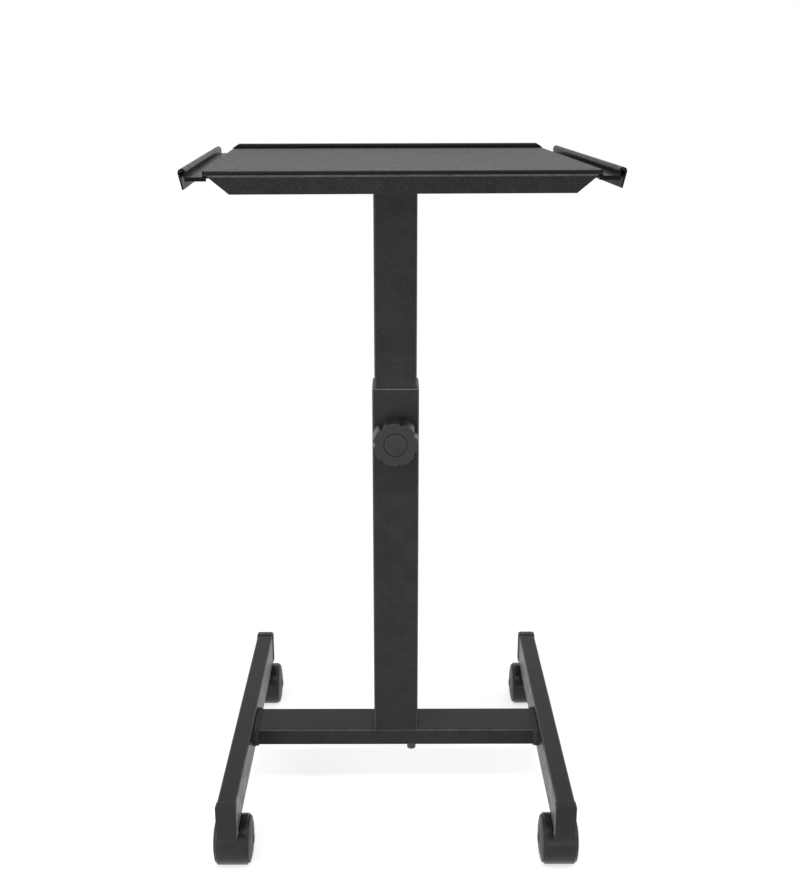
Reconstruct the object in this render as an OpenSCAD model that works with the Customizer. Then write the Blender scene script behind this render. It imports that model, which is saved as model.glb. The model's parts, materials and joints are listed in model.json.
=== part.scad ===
// Projector cart: a sheet-steel tray with curled side rails on a telescoping square
// column, held by a seven-lobed clamp knob, over an H-shaped tube base that rolls on
// four hooded twin-wheel casters.
// Millimetres. X runs left to right, Y front to back, Z up, and the floor is Z = 0.

/* [Base frame] */
// Width of the base over the outer faces of its legs
base_width = 370; // [320:5:390]
// Length of each leg over its end caps
leg_length = 400; // [340:5:480]
// Width of the leg tube
leg_tube_w = 20; // [20:1:26]
// Height of the leg tube
leg_tube_h = 40; // [36:1:50]
// Wall of the leg tube
leg_wall = 1.5; // [1.2:0.1:2.5]
// How far the middle of the legs lies behind the column axis
leg_setback = 8; // [0:1:20]
// Depth of the crossbar tube, front to back
crossbar_d = 50; // [46:1:60]
// Height of the crossbar tube
crossbar_h = 20; // [16:1:26]
// Wall of the crossbar tube
crossbar_wall = 1.5; // [1.2:0.1:2.5]

/* [Column and mast] */
// Outer width of the square column
column_w = 50; // [50:0.5:56]
// Length of the column
column_length = 408; // [340:2:460]
// Wall of the column tube
column_wall = 1.5; // [1.2:0.1:1.5]
// Outer width of the square mast that slides in the column
mast_w = 45; // [40:0.5:45]
// Length of the mast tube
mast_length = 400; // [340:2:440]
// Wall of the mast tube
mast_wall = 1.5; // [1.2:0.1:2.5]
// How far the mast stands out of the column
mast_out = 229; // [60:1:300]

/* [Tray] */
// Width of the tray pan
tray_w = 357; // [320:1:400]
// Depth of the tray pan, front to back
tray_d = 340; // [260:5:360]
// Turn of the tray on its mast, in degrees, counter-clockwise seen from above
tray_turn = 2.7; // [-5:0.1:5]
// Thickness of the pan sheet
pan_t = 1.8; // [1.5:0.1:2.5]
// Height of the front skirt below the pan's top face
skirt_h = 17; // [14:0.5:30]
// Height of the rear lip above the mat
lip_h = 5.4; // [5:0.1:20]
// Thickness of the ribbed mat on the pan
mat_t = 3.3; // [2:0.1:5]
// Distance between the middles of the two curled rails, past the tray's width
rail_reach = 34; // [28:1:50]
// Outer diameter of the curl along each rail
curl_d = 7.2; // [6.5:0.1:10]
// Thickness of the rail sheet
rail_t = 1.5; // [1:0.1:2]
// Height of the rail flange, from the top of the curl to its lower edge
rail_drop = 18.5; // [14:0.5:26]
// Lean of the rail flange from upright, in degrees
rail_lean = 13; // [0:1:20]

/* [Clamp] */
// Diameter over the lobes of the knob
knob_d = 50; // [46:1:60]
// Thickness of the knob
knob_h = 20; // [18:1:26]
// Number of lobes on the knob
knob_lobes = 7; // [5:1:9]
// Diameter of the clamp screw
screw_d = 8; // [6:1:10]
// How far the clamp lies below the top of the column
clamp_drop = 53; // [48:1:90]

/* [Casters] */
// Diameter of a wheel
wheel_d = 50; // [46:1:54]
// Width of a caster over its two wheels
caster_w = 43.6; // [42:0.2:50]
// Width of the hood over the wheels
hood_w = 33; // [28:0.5:35]
// Height from the floor to the underside of the legs
caster_h = 57; // [57:1:66]
// Distance from the swivel axis back to the wheel axle
caster_trail = 20.5; // [18:0.5:22]
// Distance from a leg's end to the swivel axis
stem_inset = 28; // [26:1:50]
// Diameter of the stem in its socket
stem_d = 11; // [10:0.5:12]
// Diameter of the wheel axle
axle_d = 6; // [5:0.5:8]

/* [Hidden] */
$fn = 64;
fine = 360;
cut = 1;
running_fit = 0.08;
seat_fit = 0.05;

powder_black = [0.17, 0.17, 0.175];
plastic_black = [0.12, 0.12, 0.125];
mat_grey = [0.27, 0.27, 0.27];
steel = [0.68, 0.69, 0.71];
nylon = [0.82, 0.82, 0.80];

// Leg tube, end cap and welds
tube_corner = 2.5;
cap_wall = 0.8;
cap_plate = 2;
cap_grip = 7;
weld_leg = 3.5;
leg_x = base_width / 2 - leg_tube_w / 2;
leg_tube_length = leg_length - 2 * cap_plate;
crossbar_length = base_width - 2 * leg_tube_w;
crossbar_top = caster_h + leg_tube_h / 2 + crossbar_h / 2;
crossbar_bottom = crossbar_top - crossbar_h;

// Foot of the column: a tapped plate inside it and two screws through the crossbar
foot_plate_t = 6;
foot_screw_d = 6;
foot_screw_head_d = 10;
foot_screw_head_h = 6;
foot_screw_key = 5;
foot_screw_tip = 2;
foot_washer_d = 12;
foot_washer_t = 1.2;
foot_hole_fit = 0.3;
foot_screw_x = 18;
foot_screw_y = 17;

// Column, guide sleeve and mast
column_top = crossbar_top + column_length;
column_inner = column_w - 2 * column_wall;
sleeve_length = 30;
sleeve_bore = mast_w + 2 * running_fit;
mast_top = column_top + mast_out;
mast_bottom = mast_top - mast_length;
plug_flange_t = 5;
plug_depth = 20;
plug_side_gap = 0.2;
plug_hollow_wall = 3;

// Plate on the mast, and the tray it carries
plate_w = 180;
plate_d = 140;
plate_t = 3;
plate_corner = 10;
tray_screw_d = 5;
tray_screw_head_d = 10;
tray_screw_tip = 2;
tray_screw_x = 70;
tray_screw_y = 50;
tray_nut_w = 8;
tray_nut_h = 4;
tray_washer_d = 10;
tray_washer_t = 1;
tray_hole_fit = 0.25;
pan_top = mast_top + plate_t + pan_t;
bend_r = 1.5;
lip_top = mat_t + lip_h;
hem_h = 3.4;
skirt_end_run = 18.5;
skirt_end_rise = skirt_h - pan_t;
lip_end_run = 7.4;
lip_end_rise = 4.6;
pan_relief = 5;
mat_slack = 1;
mat_front_gap = bend_r + pan_t;
mat_rear_gap = pan_t + bend_r + mat_slack;
mat_corner = 3;
mat_edge = 0.6;

// Side rails: a floor flange under the pan, a short wall, the curl and a leaning flange
rail_top = pan_top - pan_t;
curl_x = tray_w / 2 + rail_reach / 2;
curl_r = curl_d / 2;
curl_rise = 3.9;
rail_under = 51;
rail_lip_h = 3.7;
rail_skirt_gap = 1;
rivet_d = 4;
rivet_head_d = 7.4;
rivet_head_h = 1.2;
rivet_tail_d = 6.4;
rivet_tail_h = 1.8;
rivet_inset = 30;
rivet_pitch = 120;
rivet_rows = [-1, 0, 1];

// Clamp: welded boss, loose pressure foot, screw, knob and cap
clamp_z = column_top - clamp_drop;
boss_d = 20;
boss_l = 8;
foot_d = 12;
foot_t = 2.2;
foot_gap = 0.3;
foot_pocket_fit = 0.4;
foot_pocket = 3;
foot_socket = 1.6;
foot_end_gap = 0.1;
screw_tip_d = 5;
screw_in_knob = 14;
knob_gap = 2;
knob_rim_r = 1;
knob_taper = 1.2;
knob_lobe_r = 9;
knob_crest = 1;
knob_dip = 3.4;
knob_turn = 24.6;
knob_hub_d = 22;
knob_hub_stub = 0.5;
knob_hollow_d = 35;
knob_hollow_depth = 9;
cap_d = 24;
cap_groove = 0.7;
cap_seat = 2.2;
cap_crown = 0.6;
cap_ring_d = 15.8;
cap_ring_w = 0.8;
cap_ring_depth = 0.3;
foot_y = -mast_w / 2 - foot_gap;
foot_back = foot_y - foot_t;
boss_front = -column_w / 2 - boss_l;
knob_back = boss_front - knob_gap;

// Caster stack, from the leg down
socket_d = 14;
socket_l = 24;
socket_flange_d = 18;
socket_flange_t = 1;
stem_l = 22;
stem_chamfer = 1;
stem_groove_w = 2;
stem_groove_depth = 0.7;
stem_groove_drop = 5;
stem_collar_d = 14;
stem_collar_t = 1.2;
stem_pin_d = 8;
stem_pin_l = 12.5;
swivel_gap = 0.3;
pin_end_gap = 0.5;
swivel_r = 8;
swivel_boss_l = 16;
web_t = 11;
hood_gap = 0.6;
hood_wall = 1.3;
hood_lift = 3;
hood_shoulder = 0.8;
hood_rear_angle = 38;
wheel_side_gap = 0.4;
wheel_edge_r = 1.5;
wheel_crown = 3.2;
tread_t = 3;
hub_d = 14;
disc_t = 2.2;
axle_end_gap = 0.5;
axle_inset = 4.8;
wheel_r = wheel_d / 2;
hood_in_r = wheel_r + hood_gap;
hood_out_r = hood_in_r + hood_wall;
collar_top = caster_h - socket_flange_t;
collar_bottom = collar_top - stem_collar_t;
swivel_top = collar_bottom - swivel_gap;
wheel_in_x = web_t / 2 + wheel_side_gap;
wheel_face_x = caster_w / 2 - wheel_crown;
axle_half = caster_w / 2 - axle_inset;

// The column stands here, so that the whole cart is centred on the origin
reach_front = leg_setback - leg_length / 2;
reach_back = leg_setback + leg_length / 2 - stem_inset + caster_trail + wheel_r;
column_y = -(reach_front + reach_back) / 2;

// Each caster: name, side of the cart and end of the leg
CORNERS = [["front_left", -1, -1], ["front_right", 1, -1],
           ["rear_left", -1, 1], ["rear_right", 1, 1]];
CASTER_PARTS = ["cap", "socket", "stem", "housing", "axle", "wheel_outer", "wheel_inner"];

// Shared shapes

module rounded_rect(w, h, r) {
    square([w, h - 2 * r], center = true);
    square([w - 2 * r, h], center = true);
    for (x = [-1, 1], y = [-1, 1])
        translate([x * (w / 2 - r), y * (h / 2 - r)]) circle(r = r);
}

module tube_section(w, h, wall) {
    difference() {
        rounded_rect(w, h, tube_corner);
        rounded_rect(w - 2 * wall, h - 2 * wall, tube_corner - wall / 2);
    }
}

// A shape drawn in Y and Z, made solid along X about the middle
module along_x(length) {
    rotate([90, 0, 90]) linear_extrude(height = length, center = true) children();
}

// A shape drawn in X and Z, made solid along Y about the middle
module along_y(length) {
    rotate([90, 0, 0]) linear_extrude(height = length, center = true) children();
}

// A profile of radius and distance, turned about the X axis
module turned_x() {
    rotate([0, 90, 0]) rotate_extrude() children();
}

module trapezoid(base, top, height) {
    polygon([[-base / 2, 0], [base / 2, 0], [top / 2, height], [-top / 2, height]]);
}

// A fillet weld round a tube that stands on a face, the face at Z = 0
module weld_collar(w, h) {
    difference() {
        intersection() {
            along_y(h + 3 * weld_leg) trapezoid(w + 2 * weld_leg, w, weld_leg);
            along_x(w + 3 * weld_leg) trapezoid(h + 2 * weld_leg, h, weld_leg);
        }
        translate([0, 0, -cut]) linear_extrude(height = weld_leg + 2 * cut)
            rounded_rect(w, h, tube_corner);
    }
}

module screw_shank(d, length) {
    cylinder(d = d, h = length);
}

// Base frame

module leg_frame(side) {
    translate([side * leg_x, column_y + leg_setback, caster_h + leg_tube_h / 2]) children();
}

module leg(side) {
    color(powder_black) leg_frame(side) difference() {
        along_y(leg_tube_length) tube_section(leg_tube_w, leg_tube_h, leg_wall);
        for (end = [-1, 1])
            translate([0, end * (leg_length / 2 - stem_inset), -leg_tube_h / 2 - cut])
                cylinder(d = socket_d + 2 * seat_fit, h = leg_wall + 2 * cut);
    }
}

module crossbar() {
    color(powder_black) translate([0, column_y, crossbar_bottom + crossbar_h / 2])
        difference() {
            along_x(crossbar_length) tube_section(crossbar_d, crossbar_h, crossbar_wall);
            foot_screw_places() translate([0, 0, -crossbar_h])
                cylinder(d = foot_screw_d + 2 * foot_hole_fit, h = 2 * crossbar_h);
        }
}

// The screws stand at opposite corners of the column's foot
module foot_screw_places() {
    for (s = [-1, 1])
        translate([s * foot_screw_x, -s * foot_screw_y, 0]) children();
}

module crossbar_weld(side) {
    color(powder_black)
        translate([side * crossbar_length / 2, column_y, crossbar_bottom + crossbar_h / 2])
            rotate([0, -side * 90, 0]) weld_collar(crossbar_h, crossbar_d);
}

module end_cap(c) {
    color(plastic_black) leg_frame(c[1]) rotate([0, 0, c[2] < 0 ? 0 : 180])
        translate([0, -leg_length / 2, 0]) difference() {
            translate([0, (cap_plate + cap_grip) / 2, 0]) along_y(cap_plate + cap_grip)
                rounded_rect(leg_tube_w + 2 * cap_wall, leg_tube_h + 2 * cap_wall,
                             tube_corner + cap_wall);
            translate([0, cap_plate + cap_grip, 0]) along_y(2 * cap_grip)
                rounded_rect(leg_tube_w, leg_tube_h, tube_corner);
        }
}

// Column

module column() {
    color(powder_black) translate([0, column_y, crossbar_top]) difference() {
        linear_extrude(height = column_length)
            tube_section(column_w, column_w, column_wall);
        translate([0, -column_w / 2 - cut, clamp_z - crossbar_top]) rotate([-90, 0, 0])
            cylinder(d = foot_d + 2 * foot_pocket_fit, h = column_wall + 2 * cut);
    }
}

module column_foot_plate() {
    color(steel) translate([0, column_y, crossbar_top]) difference() {
        linear_extrude(height = foot_plate_t)
            rounded_rect(column_inner, column_inner, tube_corner - column_wall / 2);
        foot_screw_places() translate([0, 0, -cut])
            cylinder(d = foot_screw_d + 2 * seat_fit, h = foot_plate_t + 2 * cut);
    }
}

module foot_screws() {
    screw_l = foot_washer_t + crossbar_h + foot_plate_t + foot_screw_tip;
    color(steel) translate([0, column_y, crossbar_bottom - foot_washer_t])
        foot_screw_places() {
            difference() {
                union() {
                    translate([0, 0, -foot_screw_head_h])
                        cylinder(d = foot_screw_head_d, h = foot_screw_head_h);
                    screw_shank(foot_screw_d, screw_l);
                }
                translate([0, 0, -foot_screw_head_h - cut])
                    cylinder(d = foot_screw_key, h = foot_screw_head_h / 2 + cut, $fn = 6);
            }
            difference() {
                cylinder(d = foot_washer_d, h = foot_washer_t);
                translate([0, 0, -cut])
                    cylinder(d = foot_screw_d + 2 * seat_fit, h = foot_washer_t + 2 * cut);
            }
        }
}

module guide_sleeve() {
    color(nylon) translate([0, column_y, column_top - sleeve_length])
        linear_extrude(height = sleeve_length) difference() {
            rounded_rect(column_inner, column_inner, tube_corner - column_wall / 2);
            rounded_rect(sleeve_bore, sleeve_bore, tube_corner);
        }
}

// Everything of the clamp is drawn along its own axis, with Z towards the front
module clamp_axis(y) {
    translate([0, column_y + y, clamp_z]) rotate([90, 0, 0]) children();
}

module clamp_boss() {
    color(powder_black) clamp_axis(-column_w / 2) difference() {
        cylinder(d = boss_d, h = boss_l);
        translate([0, 0, -cut]) cylinder(d = foot_d + 2 * foot_pocket_fit, h = foot_pocket + cut);
        translate([0, 0, -cut]) cylinder(d = screw_d + 2 * running_fit, h = boss_l + 2 * cut);
    }
}

// Mast

module mast() {
    color(powder_black) translate([0, column_y, mast_bottom])
        linear_extrude(height = mast_length) tube_section(mast_w, mast_w, mast_wall);
}

module mast_plug() {
    flange_w = column_inner - 2 * plug_side_gap;
    core_w = mast_w - 2 * mast_wall - 2 * seat_fit;
    hollow_w = core_w - 2 * plug_hollow_wall;
    color(nylon) translate([0, column_y, mast_bottom]) difference() {
        union() {
            translate([0, 0, -plug_flange_t]) linear_extrude(height = plug_flange_t)
                rounded_rect(flange_w, flange_w, tube_corner);
            linear_extrude(height = plug_depth) rounded_rect(core_w, core_w, tube_corner);
        }
        linear_extrude(height = plug_depth + cut)
            rounded_rect(hollow_w, hollow_w, tube_corner);
    }
}

module tray_screw_places() {
    for (x = [-1, 1], y = [-1, 1])
        translate([x * tray_screw_x, y * tray_screw_y, 0]) children();
}

// Countersunk screw with its head's face at Z = 0, grown by a clearance for its hole
module tray_screw_form(fit) {
    head_h = (tray_screw_head_d - tray_screw_d) / 2;
    length = pan_t + plate_t + tray_washer_t + tray_nut_h + tray_screw_tip;
    translate([0, 0, -head_h])
        cylinder(d1 = tray_screw_d + 2 * fit, d2 = tray_screw_head_d + 2 * fit, h = head_h);
    translate([0, 0, -length]) cylinder(d = tray_screw_d + 2 * fit, h = length);
}

// The tray and the plate that carries it stand turned on the mast
module tray_frame(z) {
    translate([0, column_y, z]) rotate([0, 0, tray_turn]) children();
}

module mast_plate() {
    color(powder_black) tray_frame(mast_top) difference() {
        linear_extrude(height = plate_t) rounded_rect(plate_w, plate_d, plate_corner);
        translate([0, 0, pan_top - mast_top]) tray_screw_places()
            tray_screw_form(tray_hole_fit);
    }
}

module mast_weld() {
    color(powder_black) translate([0, column_y, mast_top])
        mirror([0, 0, 1]) weld_collar(mast_w, mast_w);
}

// Tray

// The pan from its side: rear lip with a closed hem, floor and front skirt
module pan_side() {
    front = -tray_d / 2;
    back = tray_d / 2;
    outer_r = bend_r + pan_t;
    translate([front + outer_r, -pan_t]) square([tray_d - 2 * outer_r, pan_t]);
    translate([front + outer_r, -outer_r]) intersection() {
        bend_ring();
        translate([-outer_r, 0]) square([outer_r, outer_r]);
    }
    translate([front, -skirt_h]) square([pan_t, skirt_h - outer_r]);
    translate([back - outer_r, bend_r]) intersection() {
        bend_ring();
        translate([0, -outer_r]) square([outer_r, outer_r]);
    }
    translate([back - pan_t, bend_r]) square([pan_t, lip_top - bend_r - pan_t]);
    translate([back - 2 * pan_t, lip_top - hem_h]) square([2 * pan_t, hem_h - pan_t]);
    translate([back - pan_t, lip_top - pan_t]) circle(r = pan_t);
}

module bend_ring() {
    difference() {
        circle(r = bend_r + pan_t);
        circle(r = bend_r);
    }
}

// The pan from its front: the skirt and the lip have slanted ends
module pan_front() {
    half = tray_w / 2;
    skirt_half = half - pan_relief - skirt_end_run;
    polygon([
        [-skirt_half, -skirt_h], [skirt_half, -skirt_h],
        [skirt_half + skirt_end_run, -skirt_h + skirt_end_rise], [half, -pan_t],
        [half, lip_top - lip_end_rise], [half - lip_end_run, lip_top],
        [lip_end_run - half, lip_top], [-half, lip_top - lip_end_rise],
        [-half, -pan_t], [-skirt_half - skirt_end_run, -skirt_h + skirt_end_rise]
    ]);
}

module rivet_places(side) {
    for (row = rivet_rows)
        translate([side * (tray_w / 2 - rivet_inset), row * rivet_pitch, 0]) children();
}

// Flush-headed rivet with its head's face at Z = 0, grown by a clearance for its hole
module rivet_form(fit) {
    translate([0, 0, -rivet_head_h])
        cylinder(d1 = rivet_d + 2 * fit, d2 = rivet_head_d + 2 * fit, h = rivet_head_h);
    translate([0, 0, -pan_t - rail_t]) cylinder(d = rivet_d + 2 * fit, h = pan_t + rail_t);
}

module tray_pan() {
    color(powder_black) tray_frame(pan_top) difference() {
        intersection() {
            along_x(tray_w) pan_side();
            along_y(tray_d + cut) pan_front();
        }
        for (side = [-1, 1], end = [-1, 1])
            translate([side * tray_w / 2, end * tray_d / 2, 0])
                cube([2 * pan_relief, 2 * (bend_r + pan_t), 3 * pan_t], center = true);
        tray_screw_places() tray_screw_form(seat_fit);
        for (side = [-1, 1]) rivet_places(side) rivet_form(seat_fit);
    }
}

module tray_mat() {
    mat_d = tray_d - mat_front_gap - mat_rear_gap;
    color(mat_grey) tray_frame(pan_top)
        translate([0, (mat_front_gap - mat_rear_gap) / 2, 0]) intersection() {
            linear_extrude(height = mat_t) rounded_rect(tray_w, mat_d, mat_corner);
            along_x(tray_w + cut) mat_edge_form(mat_d);
            along_y(mat_d + cut) mat_edge_form(tray_w);
        }
}

// The mat from one side, with its top edges broken
module mat_edge_form(w) {
    translate([-w / 2, 0]) square([w, mat_t - mat_edge]);
    translate([0, mat_t - mat_edge]) trapezoid(w, w - 2 * mat_edge, mat_edge);
}

// One rail's section: X outward from the cart's middle, Z from the floor flange's top
module rail_section() {
    wall_x = curl_x - curl_r;
    flange_l = (rail_drop - curl_r - curl_r * sin(rail_lean)) / cos(rail_lean);
    translate([tray_w / 2 - rail_under, -rail_t])
        square([wall_x + rail_t - tray_w / 2 + rail_under, rail_t]);
    translate([wall_x, -rail_t]) square([rail_t, curl_rise + rail_t]);
    translate([curl_x, curl_rise]) {
        difference() {
            circle(r = curl_r);
            circle(r = curl_r - rail_t);
            rotate([0, 0, -rail_lean]) translate([0, -curl_d]) square([curl_d, curl_d]);
            translate([-curl_d, -curl_d]) square([curl_d, curl_d]);
            rotate([0, 0, -rail_lean]) translate([-curl_d, -curl_d])
                square([curl_d, curl_d - curl_r / 2]);
        }
        rotate([0, 0, -rail_lean]) translate([curl_r - rail_t, -flange_l])
            square([rail_t, flange_l]);
    }
}

module rail(side) {
    notch_w = tray_w / 2 - pan_relief + rail_skirt_gap;
    notch_d = bend_r + pan_t + rail_skirt_gap;
    color(powder_black) tray_frame(rail_top) mirror([side < 0 ? 1 : 0, 0, 0])
        difference() {
            union() {
                along_y(tray_d) rail_section();
                for (end = [-1, 1])
                    translate([notch_w, end * (tray_d - rail_t) / 2 - rail_t / 2, -rail_lip_h])
                        cube([curl_x - curl_r + rail_t - notch_w, rail_t, rail_lip_h]);
            }
            translate([0, -tray_d / 2 - cut, -tray_d / 2])
                cube([notch_w, notch_d + cut, tray_d]);
            translate([0, 0, pan_t]) rivet_places(1) rivet_form(seat_fit);
        }
}

module rail_rivets() {
    color(steel) tray_frame(pan_top)
        for (side = [-1, 1]) rivet_places(side) {
            rivet_form(0);
            translate([0, 0, -pan_t - rail_t - rivet_tail_h])
                cylinder(d = rivet_tail_d, h = rivet_tail_h);
        }
}

module tray_screws() {
    color(steel) tray_frame(pan_top) tray_screw_places() tray_screw_form(0);
}

module tray_nuts() {
    color(steel) tray_frame(mast_top) tray_screw_places() difference() {
        union() {
            translate([0, 0, -tray_washer_t]) cylinder(d = tray_washer_d, h = tray_washer_t);
            translate([0, 0, -tray_washer_t - tray_nut_h])
                cylinder(d = tray_nut_w / cos(30), h = tray_nut_h, $fn = 6);
        }
        translate([0, 0, -tray_washer_t - tray_nut_h - cut])
            cylinder(d = tray_screw_d + 2 * seat_fit, h = tray_nut_h + tray_washer_t + 2 * cut);
    }
}

// Clamp

module clamp_foot() {
    color(steel) clamp_axis(foot_y) difference() {
        cylinder(d = foot_d, h = foot_t);
        translate([0, 0, foot_t - foot_socket])
            cylinder(d = screw_tip_d + 2 * running_fit, h = foot_socket + cut);
    }
}

module clamp_screw() {
    tip_l = foot_socket;
    shank_l = foot_back - knob_back + screw_in_knob - foot_end_gap;
    color(steel) clamp_axis(foot_back - foot_end_gap) {
        translate([0, 0, -tip_l]) cylinder(d = screw_tip_d, h = tip_l + screw_d / 2);
        cylinder(d = screw_d, h = shank_l);
    }
}

// Lobes and dips are arcs that run into each other: each dip's circle touches its lobes'
module knob_outline() {
    step = 180 / knob_lobes;
    lobe_at = knob_d / 2 + knob_crest - knob_lobe_r;
    dip_bottom = knob_d / 2 - knob_dip;
    inner = dip_bottom - knob_lobe_r;
    dip_at = (lobe_at * lobe_at - inner * inner) / (2 * (lobe_at * cos(step) - inner));
    difference() {
        union() {
            polygon([for (i = [0:2 * knob_lobes - 1])
                let (r = i % 2 == 0 ? dip_at : lobe_at, a = knob_turn + i * step)
                    [r * cos(a), r * sin(a)]]);
            for (i = [0:knob_lobes - 1]) rotate([0, 0, knob_turn + (2 * i + 1) * step])
                translate([lobe_at, 0]) circle(r = knob_lobe_r);
        }
        for (i = [0:knob_lobes - 1]) rotate([0, 0, knob_turn + 2 * i * step])
            translate([dip_at, 0]) circle(r = dip_at - dip_bottom);
    }
}

// The knob's turned envelope: tapered to the front, with a rounded front rim
module knob_envelope() {
    r = knob_d / 2;
    front_r = r - knob_taper;
    rotate_extrude() {
        polygon([[0, 0], [r, 0], [front_r, knob_h - knob_rim_r],
                 [front_r - knob_rim_r, knob_h], [0, knob_h]]);
        translate([front_r - knob_rim_r, knob_h - knob_rim_r]) intersection() {
            circle(r = knob_rim_r);
            square([knob_rim_r, knob_rim_r]);
        }
    }
}

module knob() {
    color(plastic_black) clamp_axis(knob_back) difference() {
        union() {
            intersection() {
                linear_extrude(height = knob_h) knob_outline();
                knob_envelope();
            }
            translate([0, 0, -knob_hub_stub]) cylinder(d = knob_hub_d, h = knob_h / 2);
        }
        translate([0, 0, -cut]) difference() {
            cylinder(d = knob_hollow_d, h = knob_hollow_depth + cut);
            cylinder(d = knob_hub_d, h = knob_hollow_depth + 2 * cut);
        }
        translate([0, 0, -cut]) cylinder(d = screw_d + 2 * seat_fit, h = screw_in_knob + cut);
        translate([0, 0, knob_h - cap_seat])
            cylinder(d = cap_d + 2 * cap_groove, h = cap_seat + cut);
    }
}

module knob_cap() {
    crown_r = (cap_d * cap_d / 4 + cap_crown * cap_crown) / (2 * cap_crown);
    color(plastic_black) clamp_axis(knob_back - knob_h + cap_seat) difference() {
        rotate_extrude() {
            square([cap_d / 2, cap_seat]);
            intersection() {
                translate([0, cap_seat - cut]) square([cap_d / 2, 2 * cut]);
                translate([0, cap_seat + cap_crown - crown_r]) circle(r = crown_r, $fn = fine);
            }
        }
        translate([0, 0, cap_seat + cap_crown - cap_ring_depth]) difference() {
            cylinder(d = cap_ring_d, h = cap_crown);
            translate([0, 0, -cut]) cylinder(d = cap_ring_d - 2 * cap_ring_w, h = 3 * cut);
        }
    }
}

// Casters

module caster_frame(c) {
    translate([c[1] * leg_x,
               column_y + leg_setback + c[2] * (leg_length / 2 - stem_inset), 0]) children();
}

module wheel_frame(c) {
    caster_frame(c) translate([0, caster_trail, wheel_r]) children();
}

module caster_socket(c) {
    color(nylon) caster_frame(c) translate([0, 0, caster_h]) difference() {
        union() {
            translate([0, 0, -socket_flange_t])
                cylinder(d = socket_flange_d, h = socket_flange_t);
            cylinder(d = socket_d, h = socket_l);
        }
        translate([0, 0, -socket_flange_t - cut])
            cylinder(d = stem_d + 2 * seat_fit, h = socket_l + socket_flange_t + 2 * cut);
    }
}

module caster_stem(c) {
    groove_z = collar_top + stem_l - stem_groove_drop;
    color(steel) caster_frame(c) difference() {
        union() {
            translate([0, 0, collar_bottom - stem_pin_l])
                cylinder(d = stem_pin_d, h = stem_pin_l + stem_collar_t);
            translate([0, 0, collar_bottom]) cylinder(d = stem_collar_d, h = stem_collar_t);
            translate([0, 0, collar_top]) cylinder(d = stem_d, h = stem_l - stem_chamfer);
            translate([0, 0, collar_top + stem_l - stem_chamfer])
                cylinder(d1 = stem_d, d2 = stem_d - 2 * stem_chamfer, h = stem_chamfer);
        }
        translate([0, 0, groove_z]) difference() {
            cylinder(d = stem_d + 2 * cut, h = stem_groove_w);
            translate([0, 0, -cut])
                cylinder(d = stem_d - 2 * stem_groove_depth, h = stem_groove_w + 2 * cut);
        }
    }
}

// The part of the wheels that the hood covers, in Y and Z about the axle:
// down to its front edge near the floor, and over the top to the rear
module hood_cover() {
    far = 2 * hood_out_r;
    polygon([[0, 0], [far * cos(hood_rear_angle), far * sin(hood_rear_angle)],
             [far * cos(hood_rear_angle), far], [-far, far],
             [-far, hood_lift - wheel_r], [0, hood_lift - wheel_r]]);
}

module caster_web() {
    along_x(web_t) {
        circle(r = wheel_r - hood_lift);
        intersection() {
            circle(r = (hood_in_r + hood_out_r) / 2);
            hood_cover();
        }
    }
}

module caster_hood() {
    half = hood_w / 2;
    intersection() {
        turned_x() polygon([
            [hood_in_r, -half], [hood_out_r - hood_shoulder, -half],
            [hood_out_r, hood_shoulder - half], [hood_out_r, half - hood_shoulder],
            [hood_out_r - hood_shoulder, half], [hood_in_r, half]
        ]);
        along_x(hood_w + cut) hood_cover();
    }
}

// The upright boss that the stem turns in, with a round lower end proud of the hood
module swivel_boss() {
    difference() {
        translate([0, -caster_trail, 0]) {
            translate([0, 0, swivel_top - wheel_r - swivel_boss_l + swivel_r])
                cylinder(r = swivel_r, h = swivel_boss_l - swivel_r);
            translate([0, 0, swivel_top - wheel_r - swivel_boss_l + swivel_r])
                sphere(r = swivel_r);
        }
        for (side = [-1, 1])
            translate([side * (web_t / 2 + hood_w / 2), 0, 0]) rotate([0, 90, 0])
                cylinder(r = hood_in_r + hood_wall / 2, h = hood_w, center = true);
    }
}

module caster_housing(c) {
    color(plastic_black) wheel_frame(c) difference() {
        union() {
            caster_web();
            caster_hood();
            swivel_boss();
        }
        translate([0, -caster_trail, collar_bottom - wheel_r - stem_pin_l - pin_end_gap])
            cylinder(d = stem_pin_d + 2 * running_fit, h = stem_pin_l + pin_end_gap + cut);
        rotate([0, 90, 0])
            cylinder(d = axle_d + 2 * seat_fit, h = web_t + 2 * cut, center = true);
    }
}

module caster_axle(c) {
    color(steel) wheel_frame(c) rotate([0, 90, 0])
        cylinder(d = axle_d, h = 2 * axle_half, center = true);
}

// Half section of a wheel: hub, tread and crowned outer face round a moulded hollow
module wheel_section() {
    body_w = wheel_face_x - wheel_in_x;
    face_r = wheel_r - wheel_edge_r;
    crown_r = (face_r * face_r + wheel_crown * wheel_crown) / (2 * wheel_crown);
    bore_r = axle_d / 2 + running_fit;
    difference() {
        union() {
            intersection() {
                translate([0, wheel_in_x + body_w / 2])
                    rounded_rect(2 * wheel_r, body_w, wheel_edge_r);
                translate([0, wheel_in_x]) square([wheel_r, body_w]);
            }
            intersection() {
                translate([0, wheel_in_x]) square([face_r, caster_w]);
                translate([0, caster_w / 2 - crown_r]) circle(r = crown_r, $fn = fine);
            }
        }
        intersection() {
            translate([hub_d / 2, 0]) square([wheel_r - tread_t - hub_d / 2, caster_w]);
            translate([0, caster_w / 2 - crown_r]) circle(r = crown_r - disc_t, $fn = fine);
        }
        square([bore_r, axle_half + axle_end_gap]);
    }
}

module caster_wheel(c, side) {
    color(plastic_black) wheel_frame(c) mirror([side < 0 ? 1 : 0, 0, 0])
        turned_x() wheel_section();
}

// Nodes

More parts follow.
